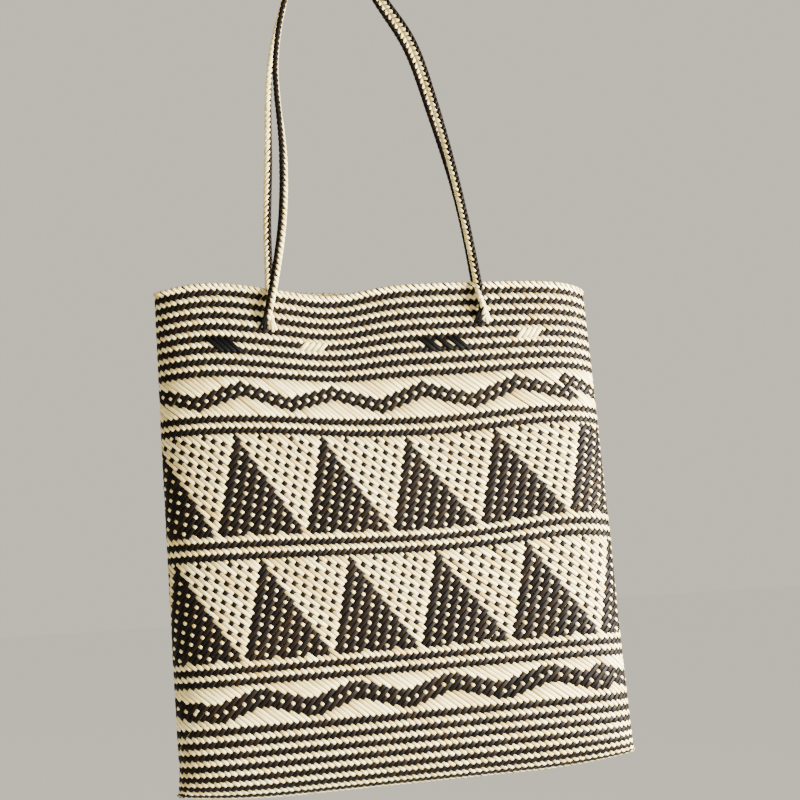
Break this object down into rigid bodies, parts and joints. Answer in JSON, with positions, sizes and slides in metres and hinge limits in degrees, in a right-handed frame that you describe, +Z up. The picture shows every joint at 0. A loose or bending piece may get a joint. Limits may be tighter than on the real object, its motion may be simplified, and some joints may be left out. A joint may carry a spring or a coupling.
{
  "type": "plaited rattan document bag",
  "caption": "Flat two-tone plaited rattan document bag with bands of stripes, waves and dotted triangles, hung by a pair of long braided shoulder handles.",
  "frame": {"origin": "the hang point, under the top of both handle loops, where a hook or a hand carries the bag", "axes": "+Z up, -Y out of the front face with the strap feet seen first, +X to the right of the front"},
  "size_m": [0.3587, 0.0432, 0.6835],
  "materials": {
    "plait": "plait of split rattan, pale cream strands one way and brown-black strands the other, satin",
    "braid": "braid of rattan strands, brown-black along one half and cream along the other, satin",
    "dark_strand": "brown-black dyed split rattan, satin",
    "pale_strand": "natural cream split rattan, satin"
  },
  "bodies": {
    "root": {"body": "plait", "front_handle": "braid", "back_handle": "braid", "front_left_dark_tail": "dark_strand", "front_left_pale_tail": "pale_strand", "front_right_dark_tail": "dark_strand", "front_right_pale_tail": "pale_strand", "back_left_dark_tail": "dark_strand", "back_left_pale_tail": "pale_strand", "back_right_dark_tail": "dark_strand", "back_right_pale_tail": "pale_strand"}
  },
  "joints": []
}
